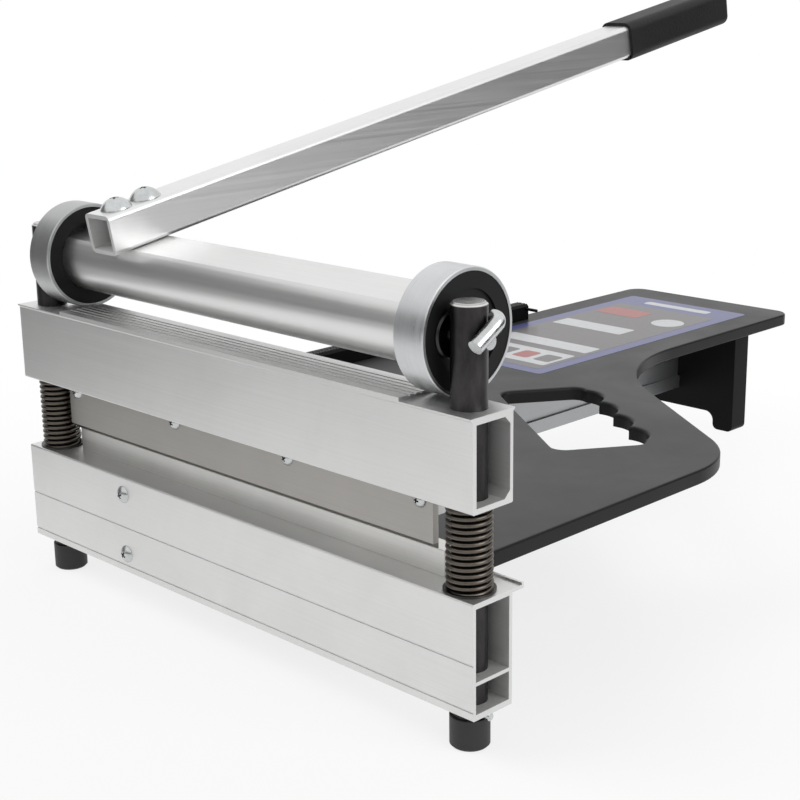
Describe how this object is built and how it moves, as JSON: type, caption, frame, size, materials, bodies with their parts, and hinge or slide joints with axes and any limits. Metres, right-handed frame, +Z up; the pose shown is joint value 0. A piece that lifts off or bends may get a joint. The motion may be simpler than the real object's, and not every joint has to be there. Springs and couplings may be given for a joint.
{
  "type": "tile cutter",
  "caption": "Bench guillotine cutter: a long lever turns eccentric rings that press a sprung ram and blade down two posts past an anvil bar, with a work table behind.",
  "frame": {"origin": "middle of the lower beam's top face, in the plane of both posts' axes", "axes": "+X along the beams towards the bent pivot pin, +Y from the beams towards the table's far end, +Z up"},
  "size_m": [0.4083, 0.6661, 0.3736],
  "materials": {
    "beam_aluminium": "mill finish with fine lengthwise lines",
    "bare_aluminium": "satin with handling scratches",
    "blade_steel": "ground",
    "dark_steel": "oiled, dark",
    "spring_steel": "oil-hardened wire",
    "zinc_steel": "bright zinc",
    "black_rubber": "matte",
    "black_plastic": "matte moulded",
    "table_plastic": "matte, slightly grained"
  },
  "bodies": {
    "base": {"anvil_bar": "beam_aluminium", "beam_screw_lower": "zinc_steel", "beam_screw_upper": "zinc_steel", "far_cross_pin": "zinc_steel", "far_foot_cap": "black_rubber", "far_pivot_pin": "zinc_steel", "far_post": "dark_steel", "far_spring": "spring_steel", "far_spring_washer": "zinc_steel", "fence": "black_plastic", "fence_pointer": "black_plastic", "leg_screw_lower": "zinc_steel", "leg_screw_upper": "zinc_steel", "lower_beam": "beam_aluminium", "near_cross_pin": "zinc_steel", "near_foot_cap": "black_rubber", "near_pivot_pin": "zinc_steel", "near_post": "dark_steel", "near_spring": "spring_steel", "near_spring_washer": "zinc_steel", "table_leg": "black_plastic", "table_rail": "beam_aluminium", "table_screw_left": "zinc_steel", "table_screw_right": "zinc_steel", "table_top": "table_plastic"},
    "ram": {"blade": "blade_steel", "blade_holder": "beam_aluminium", "blade_screw_1": "zinc_steel", "blade_screw_2": "zinc_steel", "blade_screw_3": "zinc_steel", "blade_screw_4": "zinc_steel", "holder_screw_1": "zinc_steel", "holder_screw_2": "zinc_steel", "holder_screw_3": "zinc_steel", "upper_beam": "beam_aluminium"},
    "cam": {"cam_tube": "bare_aluminium", "far_disc": "black_plastic", "far_hub": "dark_steel", "far_ring": "bare_aluminium", "grip": "black_rubber", "lever_bar": "bare_aluminium", "lever_bolt_1": "zinc_steel", "lever_bolt_2": "zinc_steel", "near_disc": "black_plastic", "near_hub": "dark_steel", "near_ring": "bare_aluminium"}
  },
  "joints": [
    {"name": "lever_turn", "type": "hinge", "parent": "base", "child": "cam", "pos_m": [0, 0, 0.1325], "axis": [1, 0, 0], "range_deg": [-18, 70]},
    {"name": "ram_slide", "type": "slide", "parent": "base", "child": "ram", "axis": [0, 0, 1], "range_m": [-0.0033, 0.0125], "deforming": ["near_spring", "far_spring"]}
  ],
  "couplings": [
    {"joint": "ram_slide", "follows": "lever_turn", "m_per_rad": 0.01015}
  ]
}
